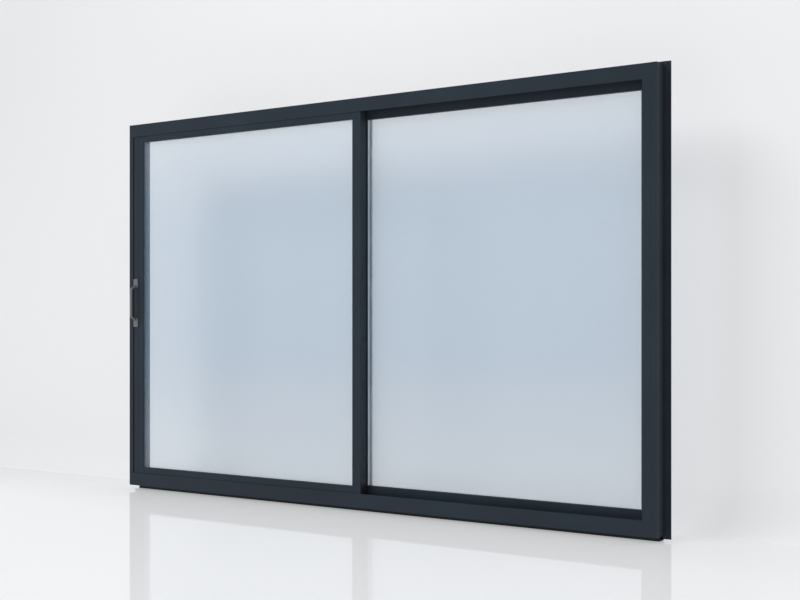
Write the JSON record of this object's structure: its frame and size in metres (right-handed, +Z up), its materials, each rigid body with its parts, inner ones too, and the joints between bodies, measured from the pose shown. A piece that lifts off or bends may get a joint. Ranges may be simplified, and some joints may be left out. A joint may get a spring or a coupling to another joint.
{
  "type": "horizontal sliding window",
  "caption": "Horizontal sliding window: glazed sashes in a metal frame with fixing fins, interlocking meeting stiles, rollers on tracks and a bowed pull handle.",
  "frame": {"origin": "middle of the underside of the base strip", "axes": "+X along the window to the right as seen from the handle side, +Y from the front to the back, +Z up"},
  "size_m": [2.38, 0.1135, 1.5275],
  "materials": {
    "frame_paint": "satin dark blue-grey powder coat",
    "sash_paint": "satin dark blue-grey powder coat",
    "glass": "clear float glass with a cool tint",
    "gasket_rubber": "matt black",
    "spacer_metal": "dark satin",
    "track_steel": "brushed",
    "handle_metal": "satin grey",
    "wheel_plastic": "smooth",
    "carriage_plastic": "moulded"
  },
  "bodies": {
    "root": {"head": "frame_paint", "sill": "frame_paint", "left_jamb": "frame_paint", "right_jamb": "frame_paint", "left_fin": "frame_paint", "right_fin": "frame_paint", "head_fin": "frame_paint", "base_strip": "frame_paint", "front_lane_cover": "frame_paint", "rear_lane_cover": "frame_paint", "front_lock_stile": "sash_paint", "front_meeting_stile": "sash_paint", "rear_closing_stile": "sash_paint", "rear_meeting_stile": "sash_paint", "front_top_rail": "sash_paint", "front_bottom_rail": "sash_paint", "rear_top_rail": "sash_paint", "rear_bottom_rail": "sash_paint", "front_outer_pane": "glass", "front_inner_pane": "glass", "front_outer_gasket": "gasket_rubber", "front_inner_gasket": "gasket_rubber", "front_glass_spacer": "spacer_metal", "front_track": "track_steel", "front_roller_wheels": "wheel_plastic", "front_roller_carriages": "carriage_plastic", "rear_outer_pane": "glass", "rear_inner_pane": "glass", "rear_outer_gasket": "gasket_rubber", "rear_inner_gasket": "gasket_rubber", "rear_glass_spacer": "spacer_metal", "rear_track": "track_steel", "rear_roller_wheels": "wheel_plastic", "rear_roller_carriages": "carriage_plastic", "upper_handle_foot": "handle_metal", "lower_handle_foot": "handle_metal", "handle_grip": "handle_metal"}
  },
  "joints": []
}
